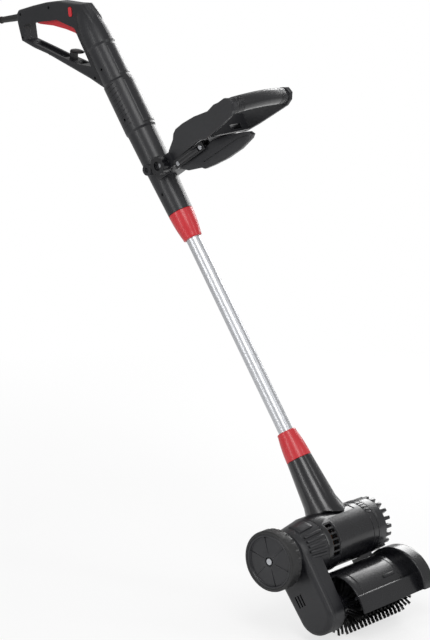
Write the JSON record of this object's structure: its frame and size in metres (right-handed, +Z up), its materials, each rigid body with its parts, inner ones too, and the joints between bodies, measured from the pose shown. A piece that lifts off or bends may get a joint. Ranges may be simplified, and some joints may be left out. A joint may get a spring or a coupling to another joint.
{
  "type": "electric surface brush",
  "caption": "Hand-held electric surface brush: roller brush under a hood, belt drive, guide wheel, lightweight shaft, D-shaped rear handle with trigger and tilting front handle.",
  "frame": {"origin": "middle of the rear grip, where the user's hand holds the machine", "axes": "+Z up, +Y towards the user, +X to the side away from the guide wheel; the shaft leans back 34 degrees as in the picture"},
  "size_m": [0.268, 0.8877, 0.9668],
  "materials": {
    "dark_shell": "satin",
    "black_shell": "satin",
    "soft_black": "matte",
    "red_plastic": "gloss",
    "bright_tube": "satin",
    "steel": "satin",
    "copper": "satin",
    "bristle_nylon": "satin",
    "pale_nylon": "satin"
  },
  "bodies": {
    "housing": {"belt_cover": "dark_shell", "belt_case": "dark_shell", "drive_belt": "soft_black", "motor_shell_front": "black_shell", "motor_shell_rear": "black_shell", "motor_end_cap": "black_shell", "stator": "copper", "carbon_brush_front": "copper", "carbon_brush_rear": "copper", "motor_bearing_left": "steel", "motor_bearing_right": "steel", "brush_bearing": "steel", "brush_bush": "pale_nylon", "brush_hood": "black_shell", "hood_bracket": "black_shell", "wheel_axle": "steel", "shaft_tube": "bright_tube", "lower_collar": "red_plastic", "upper_collar": "red_plastic", "inner_lead": "soft_black", "handle_shell_left": "dark_shell", "handle_shell_right": "dark_shell", "trigger_pin": "steel", "switch_block": "soft_black", "cable_sleeve": "soft_black", "cable_hook": "black_shell", "tilt_bolt": "steel", "tilt_nut": "steel"},
    "motor": {"motor_shaft": "steel", "armature": "copper", "commutator": "copper", "motor_fan": "pale_nylon", "motor_pulley": "steel"},
    "roller": {"brush_shaft": "steel", "brush_core": "black_shell", "bristle_strip_1": "bristle_nylon", "bristle_strip_2": "bristle_nylon", "bristle_strip_3": "bristle_nylon", "bristle_strip_4": "bristle_nylon", "brush_pulley": "pale_nylon", "brush_lock_knob": "black_shell"},
    "wheel": {"guide_wheel": "dark_shell", "wheel_tyre": "soft_black"},
    "trigger": {"trigger": "red_plastic"},
    "lock_button": {"lock_button": "red_plastic"},
    "front_handle": {"front_handle": "dark_shell", "front_grip": "soft_black", "lever_block": "black_shell", "lever_pin_rear": "steel", "lever_pin_front": "steel"},
    "tilt_knob": {"tilt_knob": "black_shell"},
    "clamp_lever": {"clamp_lever": "dark_shell"}
  },
  "joints": [
    {"name": "roller_spin", "type": "hinge", "parent": "housing", "child": "roller", "pos_m": [0, -0.68105, -0.89883], "axis": [1, 0, 0], "continuous": true},
    {"name": "motor_spin", "type": "hinge", "parent": "housing", "child": "motor", "pos_m": [0, -0.62122, -0.81012], "axis": [1, 0, 0], "continuous": true},
    {"name": "wheel_spin", "type": "hinge", "parent": "housing", "child": "wheel", "pos_m": [-0.16, -0.62122, -0.81012], "axis": [1, 0, 0], "continuous": true},
    {"name": "trigger_pull", "type": "hinge", "parent": "housing", "child": "trigger", "pos_m": [0, 0.03149, -0.0158], "axis": [-1, 0, 0], "range_deg": [0, 6], "stiffness_Nm_per_rad": 0.6, "springref_deg": -2.86},
    {"name": "lock_press", "type": "slide", "parent": "housing", "child": "lock_button", "axis": [1, 0, 0], "range_m": [0, 0.0025], "stiffness_N_per_m": 300, "springref_m": -0.0005},
    {"name": "handle_tilt", "type": "hinge", "parent": "housing", "child": "front_handle", "pos_m": [0, -0.27583, -0.2301], "axis": [1, 0, 0], "range_deg": [-45, 45]},
    {"name": "knob_turn", "type": "hinge", "parent": "housing", "child": "tilt_knob", "pos_m": [0, -0.27583, -0.2301], "axis": [1, 0, 0], "continuous": true},
    {"name": "lever_swing", "type": "hinge", "parent": "front_handle", "child": "clamp_lever", "pos_m": [-0.03, -0.3171, -0.22155], "axis": [1, 0, 0], "range_deg": [0, 15]}
  ],
  "couplings": [
    {"joint": "motor_spin", "follows": "roller_spin", "ratio": 2.1818}
  ]
}
